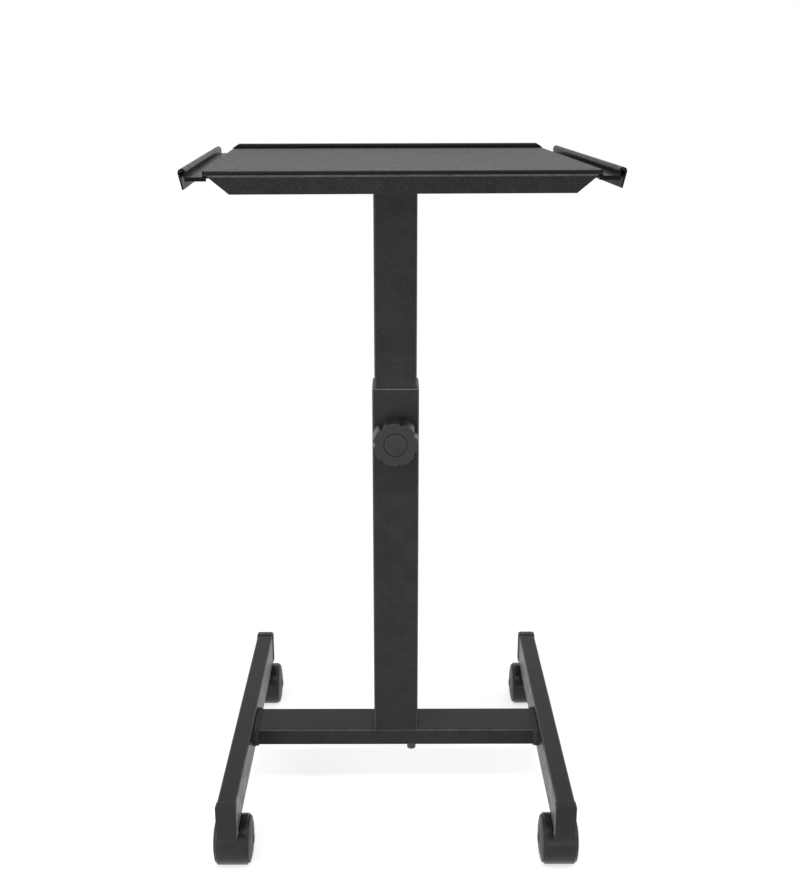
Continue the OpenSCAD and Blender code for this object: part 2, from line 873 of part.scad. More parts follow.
leg(-1);  // left_leg
leg(1);  // right_leg
crossbar();
crossbar_weld(-1);  // left_weld
crossbar_weld(1);  // right_weld
column();
column_foot_plate();
foot_screws();
guide_sleeve();
clamp_boss();
mast();
mast_plug();
mast_plate();
mast_weld();
tray_pan();
tray_mat();
rail(-1);  // left_rail
rail(1);  // right_rail
rail_rivets();
tray_screws();
tray_nuts();
clamp_foot();
clamp_screw();
knob();
knob_cap();
for (c = CORNERS) {
    end_cap(c);
    caster_socket(c);
    caster_stem(c);
    caster_housing(c);
    caster_axle(c);
    caster_wheel(c, c[1]);
    caster_wheel(c, -c[1]);
}
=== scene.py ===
"""Looks of the projector cart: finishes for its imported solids, and finer pieces that stand for some of them.

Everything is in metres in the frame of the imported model, with X to the cart's right, Y to its back and Z up.
"""

import json
import logging
import math
from collections.abc import Iterable
from dataclasses import dataclass
from enum import Enum

import bmesh
import bpy
from mathutils import Matrix, Vector

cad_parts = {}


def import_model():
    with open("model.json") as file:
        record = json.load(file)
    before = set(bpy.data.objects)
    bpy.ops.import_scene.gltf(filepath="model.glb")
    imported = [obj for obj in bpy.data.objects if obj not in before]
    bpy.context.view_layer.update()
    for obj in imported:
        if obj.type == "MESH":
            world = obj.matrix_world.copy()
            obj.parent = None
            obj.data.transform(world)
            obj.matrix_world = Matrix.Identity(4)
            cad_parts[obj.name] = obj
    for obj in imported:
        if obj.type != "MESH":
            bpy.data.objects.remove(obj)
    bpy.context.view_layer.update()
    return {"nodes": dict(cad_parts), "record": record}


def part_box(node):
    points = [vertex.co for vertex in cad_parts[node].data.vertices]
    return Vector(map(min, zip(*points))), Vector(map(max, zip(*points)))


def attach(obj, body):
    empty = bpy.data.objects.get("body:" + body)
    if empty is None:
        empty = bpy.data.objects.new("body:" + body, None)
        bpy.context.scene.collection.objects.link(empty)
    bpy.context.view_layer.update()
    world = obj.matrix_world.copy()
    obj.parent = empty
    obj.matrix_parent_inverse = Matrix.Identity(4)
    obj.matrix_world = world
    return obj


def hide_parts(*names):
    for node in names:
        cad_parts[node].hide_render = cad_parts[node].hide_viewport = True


LOG = logging.getLogger("projector_cart")
CORNERS = ("front_left", "front_right", "rear_left", "rear_right")
MM = 0.001
MERGE = 0.002 * MM
THREAD_DEPTH = 0.6
THREAD_CREST = (0.44, 0.56)
Colour = tuple[float, float, float]


class Sum(Enum):
    """The sums that math nodes do."""

    ADD = "ADD"
    MULTIPLY = "MULTIPLY"
    MAXIMUM = "MAXIMUM"
    ABSOLUTE = "ABSOLUTE"


class Which(Enum):
    """The two wheels of a caster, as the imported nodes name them."""

    OUTER = "outer"
    INNER = "inner"


class NodeGraph:
    """A node tree, with short calls that add and join its nodes."""

    def __init__(self, tree: bpy.types.NodeTree) -> None:
        """Takes the tree to work on."""
        self.tree = tree

    def add(self, kind: str, **settings: object) -> bpy.types.Node:
        """Adds one node.

        Args:
            kind: the node's type name.
            settings: properties to set on the node.

        Returns:
            The new node.
        """
        node = self.tree.nodes.new(kind)
        for name, value in settings.items():
            setattr(node, name, value)
        return node

    def join(self, source: bpy.types.NodeSocket, target: bpy.types.NodeSocket) -> None:
        """Links an output to an input."""
        self.tree.links.new(source, target)

    def sum(self, operation: Sum, first: bpy.types.NodeSocket,
            second: bpy.types.NodeSocket | float = 0.0) -> bpy.types.NodeSocket:
        """Does a sum on one or two values.

        Args:
            operation: the sum.
            first: the first value.
            second: the second value, unused by a sum on one value.

        Returns:
            The result.
        """
        node = self.add("ShaderNodeMath", operation=operation.value)
        self.join(first, node.inputs[0])
        if isinstance(second, (int, float)):
            node.inputs[1].default_value = second
        else:
            self.join(second, node.inputs[1])
        return node.outputs[0]

    def seen(self) -> tuple[bpy.types.Node, bpy.types.NodeSocket]:
        """Returns the ray's path node, and 1 for what the camera or a reflection sees."""
        path = self.add("ShaderNodeLightPath")
        return path, self.sum(Sum.MAXIMUM, path.outputs["Is Camera Ray"], path.outputs["Is Glossy Ray"])


class ShaderGraph(NodeGraph):
    """The node tree of one material, with the patterns that its finish is made of."""

    def __init__(self, name: str) -> None:
        """Starts a material.

        Args:
            name: the material's name.
        """
        self.material = bpy.data.materials.new(name)
        self.material.use_nodes = True
        super().__init__(self.material.node_tree)
        self.shader = self.tree.nodes["Principled BSDF"]
        self.coordinates = self.add("ShaderNodeTexCoord")
        self.place = self.coordinates.outputs["Object"]

    def set(self, **values: object) -> None:
        """Sets sockets of the shader, named with underscores for their spaces."""
        for name, value in values.items():
            self.shader.inputs[name.replace("_", " ")].default_value = value

    def stretched(self, scale: tuple[float, float, float]) -> bpy.types.NodeSocket:
        """Returns the object's coordinates stretched along the axes."""
        mapping = self.add("ShaderNodeMapping")
        mapping.inputs["Scale"].default_value = scale
        self.join(self.place, mapping.inputs["Vector"])
        return mapping.outputs["Vector"]

    def turn(self, degrees: float) -> None:
        """Turns the coordinates that the patterns read about the upright axis."""
        mapping = self.add("ShaderNodeMapping")
        mapping.inputs["Rotation"].default_value = (0, 0, -math.radians(degrees))
        self.join(self.place, mapping.inputs["Vector"])
        self.place = mapping.outputs["Vector"]

    def noise(self, grain: float, detail: float = 4.0, rough: float = 0.55,
              place: bpy.types.NodeSocket | None = None) -> bpy.types.NodeSocket:
        """Adds a noise pattern.

        Args:
            grain: size of the pattern's largest spots, in metres.
            detail: how many finer layers it has.
            rough: how strong the finer layers are.
            place: coordinates to read, the object's own if left out.

        Returns:
            The pattern's value, from 0 to 1.
        """
        node = self.add("ShaderNodeTexNoise")
        node.inputs["Scale"].default_value = 1 / grain
        node.inputs["Detail"].default_value = detail
        node.inputs["Roughness"].default_value = rough
        self.join(place or self.place, node.inputs["Vector"])
        return node.outputs["Fac"]

    def cells(self, grain: float) -> bpy.types.NodeSocket:
        """Returns the distance within cells of the given size, a pebbled pattern."""
        node = self.add("ShaderNodeTexVoronoi", feature="SMOOTH_F1")
        node.inputs["Scale"].default_value = 1 / grain
        self.join(self.place, node.inputs["Vector"])
        return node.outputs["Distance"]

    def bands(self, pitch: float, wander: float) -> bpy.types.NodeSocket:
        """Adds even stripes that follow one another towards the back.

        Args:
            pitch: distance from stripe to stripe, in metres.
            wander: how far noise bends them.

        Returns:
            The pattern's value, from 0 to 1.
        """
        node = self.add("ShaderNodeTexWave", wave_type="BANDS", bands_direction="Y")
        node.inputs["Scale"].default_value = math.tau / (20 * pitch)
        node.inputs["Distortion"].default_value = wander
        node.inputs["Detail"].default_value = 2.0
        self.join(self.place, node.inputs["Vector"])
        return node.outputs["Fac"]

    def between(self, value: bpy.types.NodeSocket, low: float, high: float,
                start: float = 0.3, end: float = 0.7) -> bpy.types.NodeSocket:
        """Maps a pattern onto a range of values.

        Args:
            value: the pattern.
            low: what the pattern's start gives.
            high: what the pattern's end gives.
            start: the pattern's value that gives low.
            end: the pattern's value that gives high.

        Returns:
            The mapped value.
        """
        node = self.add("ShaderNodeMapRange", clamp=True)
        for name, number in (("From Min", start), ("From Max", end), ("To Min", low), ("To Max", high)):
            node.inputs[name].default_value = number
        self.join(value, node.inputs["Value"])
        return node.outputs["Result"]

    def mixed(self, factor: bpy.types.NodeSocket, first: Colour | bpy.types.NodeSocket,
              second: Colour) -> bpy.types.NodeSocket:
        """Returns a colour between two colours.

        Args:
            factor: 0 for the first colour, 1 for the second.
            first: a colour, or an output that gives one.
            second: a colour.

        Returns:
            The mixed colour.
        """
        node = self.add("ShaderNodeMix", data_type="RGBA")
        self.join(factor, node.inputs[0])
        if isinstance(first, tuple):
            node.inputs[6].default_value = (*first, 1)
        else:
            self.join(first, node.inputs[6])
        node.inputs[7].default_value = (*second, 1)
        return node.outputs[2]

    def rounded(self, radius: float) -> bpy.types.NodeSocket:
        """Returns the normal of the surface with its edges rounded to a radius."""
        node = self.add("ShaderNodeBevel", samples=6)
        node.inputs["Radius"].default_value = radius
        return node.outputs["Normal"]

    def edges(self, normal: bpy.types.NodeSocket) -> bpy.types.NodeSocket:
        """Returns 1 on the rounded edges and 0 on flat places.

        Args:
            normal: the rounded normal.
        """
        dot = self.add("ShaderNodeVectorMath", operation="DOT_PRODUCT")
        self.join(normal, dot.inputs[0])
        self.join(self.add("ShaderNodeNewGeometry").outputs["Normal"], dot.inputs[1])
        return self.between(dot.outputs["Value"], 1.0, 0.0, 0.80, 0.98)

    def facing(self) -> tuple[bpy.types.NodeSocket, ...]:
        """Returns how squarely the surface faces along each axis of the object, from 0 to 1."""
        split = self.add("ShaderNodeSeparateXYZ")
        self.join(self.coordinates.outputs["Normal"], split.inputs[0])
        return tuple(self.sum(Sum.ABSOLUTE, split.outputs[number]) for number in range(3))

    def corners(self) -> bpy.types.NodeSocket:
        """Returns 1 where the surface slants between the main directions, as on a tube's round corners."""
        across, back, up = self.facing()
        largest = self.sum(Sum.MAXIMUM, self.sum(Sum.MAXIMUM, across, back), up)
        return self.between(largest, 1.0, 0.0, 0.80, 0.95)

    def bump(self, height: bpy.types.NodeSocket, depth: float, strength: float,
             under: bpy.types.NodeSocket | None = None) -> bpy.types.NodeSocket:
        """Raises a pattern from the surface.

        Args:
            height: the pattern.
            depth: its relief, in metres.
            strength: how much of it shows.
            under: the normal that it stands on.

        Returns:
            The new normal.
        """
        node = self.add("ShaderNodeBump")
        node.inputs["Strength"].default_value = strength
        node.inputs["Distance"].default_value = depth
        self.join(height, node.inputs["Height"])
        if under is not None:
            self.join(under, node.inputs["Normal"])
        return node.outputs["Normal"]

    def finish(self, colour: bpy.types.NodeSocket, roughness: bpy.types.NodeSocket,
               normal: bpy.types.NodeSocket) -> bpy.types.Material:
        """Joins colour, roughness and normal to the shader.

        Returns:
            The finished material.
        """
        self.join(colour, self.shader.inputs["Base Color"])
        self.join(roughness, self.shader.inputs["Roughness"])
        self.join(normal, self.shader.inputs["Normal"])
        return self.material


@dataclass(frozen=True)
class PowderCoat:
    """Fine matte black powder coat on steel: an orange-peel skin, its edges and round corners painted paler as
    a painted highlight.
    """

    name: str = "powder_coat"
    dark: Colour = (0.0205, 0.0198, 0.0200)
    pale: Colour = (0.0330, 0.0320, 0.0325)
    # Pale colour of the grain's flecks, and of the painted highlight on edges and round corners.
    edge_highlight_and_fleck: Colour = (0.130, 0.127, 0.122)
    bare: Colour = (0.34, 0.33, 0.32)
    gloss: float = 0.10
    smooth: float = 0.26
    rough: float = 0.38
    edge_radius: float = 0.9 * MM
    peel: float = 1.3 * MM
    peel_depth: float = 0.05 * MM
    cloud_size: float = 26 * MM
    speck_size: float = 1.1 * MM
    fleck_share: float = 0.14
    edge_patch_size: float = 6 * MM
    sheen_size: float = 18 * MM
    bare_above: float | None = None
    bare_share: float = 0.85
    bare_fade: float = 0.4 * MM

    def material(self) -> bpy.types.Material:
        """Returns the coat's material."""
        graph = ShaderGraph(self.name)
        cloud = graph.noise(self.cloud_size, 5.0, 0.65)
        speck = graph.noise(self.speck_size, 1.0)
        normal = graph.rounded(self.edge_radius)
        tint = graph.mixed(graph.between(cloud, 0.0, 1.0), self.dark, self.pale)
        fleck = graph.between(speck, 0.0, self.fleck_share, 0.42, 0.66)
        tint = graph.mixed(fleck, tint, self.edge_highlight_and_fleck)
        # Painted highlight: edges and round corners are painted towards the pale edge colour, in patches.
        edge = graph.sum(Sum.MAXIMUM, graph.edges(normal), graph.corners())
        edge_highlight_and_wear = graph.sum(Sum.MULTIPLY, edge, graph.between(graph.noise(self.edge_patch_size), 0.4, 0.9))
        tint = graph.mixed(edge_highlight_and_wear, tint, self.edge_highlight_and_fleck)
        if self.bare_above is not None:
            height = graph.add("ShaderNodeSeparateXYZ")
            graph.join(graph.place, height.inputs[0])
            bare = graph.between(height.outputs[2], 0.0, self.bare_share,
                                 self.bare_above, self.bare_above + self.bare_fade)
            tint = graph.mixed(bare, tint, self.bare)
        skin = graph.sum(Sum.ADD, graph.noise(self.peel, 2.0), graph.sum(Sum.MULTIPLY, speck, 0.5))
        normal = graph.bump(skin, self.peel_depth, 0.55, normal)
        graph.set(Specular_IOR_Level=self.gloss)
        sheen = graph.between(graph.noise(self.sheen_size, 5.0), self.smooth, self.rough)
        return graph.finish(tint, sheen, normal)


@dataclass(frozen=True)
class MouldedPlastic:
    """Satin black moulded plastic with the fine spark texture of its mould."""

    name: str
    dark: Colour = (0.0150, 0.0148, 0.0148)
    pale: Colour = (0.0215, 0.0210, 0.0208)
    # Pale colour painted on edges, and on round corners where asked, as a painted highlight.
    edge_highlight_and_fleck: Colour = (0.07, 0.07, 0.068)
    gloss: float = 0.32
    smooth: float = 0.34
    rough: float = 0.46
    edge_radius: float = 0.8 * MM
    grain: float = 0.45 * MM
    grain_depth: float = 0.02 * MM
    flow_size: float = 14 * MM
    highlight_patch_size: float = 3 * MM
    sheen_size: float = 8 * MM
    # Whether round corners get the painted highlight too.
    highlit_corners: bool = False

    def material(self) -> bpy.types.Material:
        """Returns the plastic's material."""
        graph = ShaderGraph(self.name)
        normal = graph.rounded(self.edge_radius)
        flow = graph.noise(self.flow_size, 3.0, place=graph.stretched((1.0, 1.0, 0.4)))
        tint = graph.mixed(graph.between(flow, 0.0, 1.0), self.dark, self.pale)
        highlight_patches = graph.noise(self.highlight_patch_size, 6.0, 0.7, place=graph.stretched((0.35, 0.35, 2.2)))
        # Painted highlight: edges, and round corners where asked, are painted towards the pale edge colour in
        # streaky patches.
        edge = graph.edges(normal)
        if self.highlit_corners:
            edge = graph.sum(Sum.MAXIMUM, edge, graph.corners())
        edge_highlight_and_wear = graph.sum(Sum.MULTIPLY, edge, graph.between(highlight_patches, 0.1, 0.8))
        tint = graph.mixed(edge_highlight_and_wear, tint, self.edge_highlight_and_fleck)
        normal = graph.bump(graph.cells(self.grain), self.grain_depth, 0.45, normal)
        graph.set(Specular_IOR_Level=self.gloss)
        roughness = graph.between(graph.noise(self.sheen_size, 5.0), self.smooth, self.rough)
        return graph.finish(tint, roughness, normal)


@dataclass(frozen=True)
class RibbedMat:
    """Dark anti-slip mat, its face painted grey as a grazing reflection over the near-black of its cut edges:
    fine ribs across the tray over a pebbled skin, with faint streaks.
    """

    name: str = "ribbed_mat"
    # The face's grey stands in for a grazing reflection on the dark rubber.
    dark: Colour = (0.070, 0.070, 0.068)
    pale: Colour = (0.098, 0.098, 0.096)
    dust: Colour = (0.160, 0.156, 0.150)
    rib_pitch: float = 1.6 * MM
    rib_depth: float = 0.12 * MM
    pebble: float = 0.7 * MM
    gloss: float = 0.15
    smooth: float = 0.50
    rough: float = 0.66
    edge_radius: float = 0.5 * MM
    streak_size: float = 9 * MM
    dust_size: float = 1.6 * MM
    dust_share: float = 0.6
    sheen_size: float = 5 * MM
    turn: float = 2.7
    cut_edge: Colour = (0.006, 0.006, 0.006)

    def material(self) -> bpy.types.Material:
        """Returns the mat's material: its face is painted grey as a painted grazing reflection, and its
        upright cut edges keep the near-black of the rubber.
        """
        graph = ShaderGraph(self.name)
        graph.turn(self.turn)
        ribs = graph.bands(self.rib_pitch, 0.3)
        streak = graph.noise(self.streak_size, 6.0, 0.65, place=graph.stretched((0.08, 1.0, 1.0)))
        tint = graph.mixed(graph.between(streak, 0.0, 1.0, 0.35, 0.65), self.dark, self.pale)
        dusty = graph.between(graph.noise(self.dust_size, 2.0), 0.0, self.dust_share, 0.54, 0.72)
        tint = graph.mixed(dusty, tint, self.dust)
        # Painted reflection: faces that point up are painted grey, upright cut edges near-black.
        upright = graph.between(graph.facing()[2], 1.0, 0.0, 0.2, 0.6)
        tint = graph.mixed(upright, tint, self.cut_edge)
        pebbles = graph.sum(Sum.MULTIPLY, graph.cells(self.pebble), 0.6)
        relief = graph.sum(Sum.ADD, ribs, pebbles)
        normal = graph.bump(relief, self.rib_depth, 0.5, graph.rounded(self.edge_radius))
        graph.set(Specular_IOR_Level=self.gloss)
        sheen = graph.between(graph.noise(self.sheen_size), self.smooth, self.rough)
        return graph.finish(tint, sheen, normal)


@dataclass(frozen=True)
class ZincPlate:
    """Bright zinc on small steel parts, with fine turning marks and dull patches."""

    name: str = "zinc_plate"
    bright: Colour = (0.62, 0.63, 0.65)
    dull: Colour = (0.44, 0.45, 0.47)
    smooth: float = 0.24
    rough: float = 0.42
    cloud_size: float = 4 * MM
    mark_size: float = 0.35 * MM
    mark_depth: float = 0.01 * MM
    edge_radius: float = 0.3 * MM

    def material(self) -> bpy.types.Material:
        """Returns the plating's material."""
        graph = ShaderGraph(self.name)
        cloud = graph.noise(self.cloud_size, 5.0)
        marks = graph.noise(self.mark_size, 2.0, place=graph.stretched((1.0, 1.0, 4.0)))
        tint = graph.mixed(graph.between(cloud, 0.0, 1.0), self.bright, self.dull)
        normal = graph.bump(marks, self.mark_depth, 0.4, graph.rounded(self.edge_radius))
        graph.set(Metallic=1.0)
        return graph.finish(tint, graph.between(cloud, self.smooth, self.rough), normal)


@dataclass(frozen=True)
class BlackOxide:
    """Blackened steel of the socket screws, worn to bare metal along the edges."""

    name: str = "black_oxide"
    dark: Colour = (0.016, 0.016, 0.018)
    oiled: Colour = (0.026, 0.026, 0.029)
    bare: Colour = (0.22, 0.21, 0.20)
    gloss: float = 0.6
    smooth: float = 0.32
    rough: float = 0.48
    cloud_size: float = 3 * MM
    edge_patch_size: float = 1.5 * MM
    grain: float = 0.4 * MM
    grain_depth: float = 0.01 * MM
    sheen_size: float = 2 * MM
    edge_radius: float = 0.3 * MM

    def material(self) -> bpy.types.Material:
        """Returns the blackened steel's material."""
        graph = ShaderGraph(self.name)
        normal = graph.rounded(self.edge_radius)
        cloud = graph.noise(self.cloud_size, 4.0)
        tint = graph.mixed(graph.between(cloud, 0.0, 1.0), self.dark, self.oiled)
        patches = graph.between(graph.noise(self.edge_patch_size), 0.0, 0.6)
        # Here the mask is real wear: the edges are worn to bare metal.
        edge_highlight_and_wear = graph.sum(Sum.MULTIPLY, graph.edges(normal), patches)
        tint = graph.mixed(edge_highlight_and_wear, tint, self.bare)
        graph.set(Specular_IOR_Level=self.gloss)
        normal = graph.bump(graph.noise(self.grain, 2.0), self.grain_depth, 0.4, normal)
        sheen = graph.between(graph.noise(self.sheen_size), self.smooth, self.rough)
        return graph.finish(tint, sheen, normal)


@dataclass(frozen=True)
class BlackNylon:
    """Black nylon of the guide, the plug and the stem sockets, faintly greyed where it slides."""

    name: str = "black_nylon"
    clean: Colour = (0.020, 0.020, 0.021)
    greyed: Colour = (0.036, 0.036, 0.037)
    smooth: float = 0.42
    rough: float = 0.58
    cloud_size: float = 12 * MM
    grain: float = 0.6 * MM
    grain_depth: float = 0.02 * MM
    sheen_size: float = 3 * MM
    edge_radius: float = 0.4 * MM

    def material(self) -> bpy.types.Material:
        """Returns the nylon's material."""
        graph = ShaderGraph(self.name)
        cloud = graph.noise(self.cloud_size, 3.0)
        tint = graph.mixed(graph.between(cloud, 0.0, 1.0), self.clean, self.greyed)
        normal = graph.rounded(self.edge_radius)
        normal = graph.bump(graph.noise(self.grain, 2.0), self.grain_depth, 0.4, normal)
        sheen = graph.between(graph.noise(self.sheen_size), self.smooth, self.rough)
        return graph.finish(tint, sheen, normal)


class Piece:
    """A mesh being made, which ends as an object that rides on a body of the cart."""

    def __init__(self, name: str) -> None:
        """Starts an empty piece under the given name."""
        self.name = name
        self.mesh = bmesh.new()

    def done(self, material: bpy.types.Material, body: str, replaced: Iterable[str],
             smooth_angle: float = 35.0) -> bpy.types.Object:
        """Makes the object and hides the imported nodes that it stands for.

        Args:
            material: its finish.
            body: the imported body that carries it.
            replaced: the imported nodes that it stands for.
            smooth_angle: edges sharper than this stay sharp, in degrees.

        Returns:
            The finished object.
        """
        bmesh.ops.recalc_face_normals(self.mesh, faces=self.mesh.faces[:])
        sharp = math.radians(smooth_angle)
        for face in self.mesh.faces:
            face.smooth = True
        for edge in self.mesh.edges:
            edge.smooth = len(edge.link_faces) == 2 and edge.calc_face_angle(0.0) < sharp
        data = bpy.data.meshes.new(self.name)
        self.mesh.to_mesh(data)
        self.mesh.free()
        data.materials.append(material)
        made = bpy.data.objects.new(self.name, data)
        bpy.context.scene.collection.objects.link(made)
        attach(made, body)
        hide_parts(*replaced)
        LOG.info("%s: %d faces on %s", self.name, len(data.polygons), body)
        return made

    def turned(self, profile: Iterable[tuple[float, float]], axis: Vector, foot: Vector,
               steps: int = 64) -> None:
        """Turns a profile all the way round an axis.

        Args:
            profile: points as distance along the axis and radius.
            axis: the unit vector of the axis.
            foot: where distance 0 lies.
            steps: facets in the full turn.
        """
        out = axis.orthogonal().normalized()
        points = [self.mesh.verts.new(foot + axis * along + out * radius) for along, radius in profile]
        strip = [self.mesh.edges.new(pair) for pair in zip(points, points[1:])]
        bmesh.ops.spin(self.mesh, geom=points + strip, cent=foot, axis=axis, angle=math.tau,
                       steps=steps, use_merge=True, use_duplicate=False)
        bmesh.ops.remove_doubles(self.mesh, verts=self.mesh.verts[:], dist=MERGE)

    def threaded(self, radius: float, pitch: float, turns: int, axis: Vector, foot: Vector,
                 steps: int = 24) -> None:
        """Sweeps a V thread round an axis.

        Args:
            radius: the thread's outer radius.
            pitch: rise in one turn.
            turns: whole turns.
            axis: the unit vector of the axis.
            foot: where the thread starts.
            steps: facets in one turn.
        """
        sweep = bmesh.new()
        out = axis.orthogonal().normalized()
        root = radius - THREAD_DEPTH * pitch
        crest = [(share * pitch, radius) for share in THREAD_CREST]
        profile = [(0.0, root), *crest, (pitch, root)]
        points = [sweep.verts.new(foot + axis * along + out * reach) for along, reach in profile]
        strip = [sweep.edges.new(pair) for pair in zip(points, points[1:])]
        bmesh.ops.spin(sweep, geom=points + strip, cent=foot, axis=axis, dvec=axis * (pitch / steps),
                       angle=math.tau * turns, steps=steps * turns, use_merge=False, use_duplicate=False)
        bmesh.ops.remove_doubles(sweep, verts=sweep.verts[:], dist=MERGE)
        bmesh.ops.holes_fill(sweep, edges=[e for e in sweep.edges if e.is_boundary], sides=0)
        self.join(sweep)

    def join(self, other: bmesh.types.BMesh) -> None:
        """Adds another mesh to this one and frees it."""
        data = bpy.data.meshes.new("joined")
        other.to_mesh(data)
        other.free()
        self.mesh.from_mesh(data)
        bpy.data.meshes.remove(data)


@dataclass
class WeldBeads:
    """Rippled fillet welds, each some rows of overlapping drops round the foot of a tube."""

    drop: float = 1.8 * MM
    pitch: float = 1.9 * MM
    out: float = 0.4 * MM
    rows: int = 3
    corner: float = 2.5 * MM
    sways: tuple[float, float] = (0.22 * MM, 0.15 * MM)
    shrink: float = 0.12
    swelling: float = 0.08

    def outline(self, width: float, height: float) -> list[tuple[float, float]]:
        """Walks round a rectangle with round corners.

        Args:
            width: its full width.
            height: its full height.

        Returns:
            Points one ripple apart.
        """
        half_w, half_h = width / 2 - self.corner, height / 2 - self.corner
        reach = self.corner + self.out
        points: list[tuple[float, float]] = []
        corners = ((half_w, half_h), (-half_w, half_h), (-half_w, -half_h), (half_w, -half_h))
        for number, (across, up) in enumerate(corners):
            turn = number * math.pi / 2
            arc = max(2, round(reach * math.pi / 2 / self.pitch))
            for step in range(arc):
                angle = turn + step / arc * math.pi / 2
                points.append((across + reach * math.cos(angle), up + reach * math.sin(angle)))
            following = corners[(number + 1) % 4]
            run = math.hypot(following[0] - across, following[1] - up)
            count = max(1, round(run / self.pitch))
            side = turn + math.pi / 2
            for step in range(count):
                share = step / count
                points.append((across + (following[0] - across) * share + reach * math.cos(side),
                               up + (following[1] - up) * share + reach * math.sin(side)))
        return points

    def bead(self, node: str, tube: str, normal: Vector, across: Vector, up: Vector,
             material: bpy.types.Material, body: str) -> bpy.types.Object:
        """Lays one weld.

        Args:
            node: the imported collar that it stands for.
            tube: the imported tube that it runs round.
            normal: points from the face along the tube.
            across: one side of the tube's section.
            up: the other side of the tube's section.
            material: its finish.
            body: the body that carries it.

        Returns:
            The weld.
        """
        low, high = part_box(tube)
        size, middle = high - low, (low + high) / 2
        face_low, face_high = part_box(node)
        face = face_low if normal.dot(Vector((1, 1, 1))) > 0 else face_high
        centre = middle + normal * (face - middle).dot(normal)
        piece = Piece(node + "_bead")
        points = self.outline(abs(size.dot(across)), abs(size.dot(up)))
        for number, (right, rise) in enumerate(points * self.rows):
            row = number // len(points)
            sway = self.sways[0] * math.sin(number * 2.4) + self.sways[1] * math.sin(number * 0.7)
            swell = (1 - self.shrink * row) * (1 + self.swelling * math.sin(number * 1.9))
            spot = centre + across * right + up * rise + normal * (self.out + sway + row * self.pitch)
            scale = Matrix.Diagonal((self.drop * swell,) * 3).to_4x4()
            bmesh.ops.create_icosphere(piece.mesh, subdivisions=2, radius=1.0,
                                       matrix=Matrix.Translation(spot) @ scale)
        return piece.done(material, body, [node], 70.0)

    def build(self, material: bpy.types.Material) -> None:
        """Lays the welds of the crossbar and of the mast's plate."""
        across, back, up = Vector((1, 0, 0)), Vector((0, 1, 0)), Vector((0, 0, 1))
        self.bead("left_weld", "crossbar", across, back, up, material, "cart_frame")
        self.bead("right_weld", "crossbar", -across, back, up, material, "cart_frame")
        self.bead("mast_weld", "mast", -up, across, back, material, "mast_and_tray")


@dataclass
class EndCaps:
    """Moulded caps over the ends of the legs: a plate with rounded edges and a thin collar."""

    corner: float = 3.3 * MM
    face_edge: float = 0.8 * MM
    wall: float = 0.8 * MM
    plate: float = 2.0 * MM

    def cap(self, corner: str, material: bpy.types.Material) -> bpy.types.Object:
        """Makes one cap.

        Args:
            corner: the corner of the cart that it is on.
            material: its finish.

        Returns:
            The cap.
        """
        node = corner + "_cap"
        low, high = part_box(node)
        size, middle = high - low, (low + high) / 2
        outward = -1.0 if corner.startswith("front") else 1.0
        piece = Piece(node + "_shell")
        bmesh.ops.create_cube(piece.mesh, size=1.0,
                              matrix=Matrix.Translation(middle) @ Matrix.Diagonal(size).to_4x4())
        along = [e for e in piece.mesh.edges if abs((e.verts[0].co - e.verts[1].co).y) > size.y / 2]
        self.bevel(piece, along, self.corner, 5)
        front = max(piece.mesh.faces, key=lambda f: outward * f.calc_center_median().y)
        self.bevel(piece, list(front.edges), self.face_edge, 3)
        rear = min(piece.mesh.faces, key=lambda f: outward * f.calc_center_median().y)
        bmesh.ops.inset_region(piece.mesh, faces=[rear], thickness=self.wall, use_even_offset=True)
        floor = bmesh.ops.extrude_discrete_faces(piece.mesh, faces=[rear])["faces"][0]
        deep = Vector((0, outward * (size.y - self.plate), 0))
        bmesh.ops.translate(piece.mesh, verts=floor.verts[:], vec=deep)
        return piece.done(material, "cart_frame", [node])

    @staticmethod
    def bevel(piece: Piece, edges: list[bmesh.types.BMEdge], width: float, segments: int) -> None:
        """Rounds some edges of a piece."""
        bmesh.ops.bevel(piece.mesh, geom=edges, offset=width, offset_type="OFFSET", affect="EDGES",
                        segments=segments, profile=0.5, material=-1, clamp_overlap=True)

    def build(self, material: bpy.types.Material) -> None:
        """Makes the four caps."""
        for corner in CORNERS:
            self.cap(corner, material)


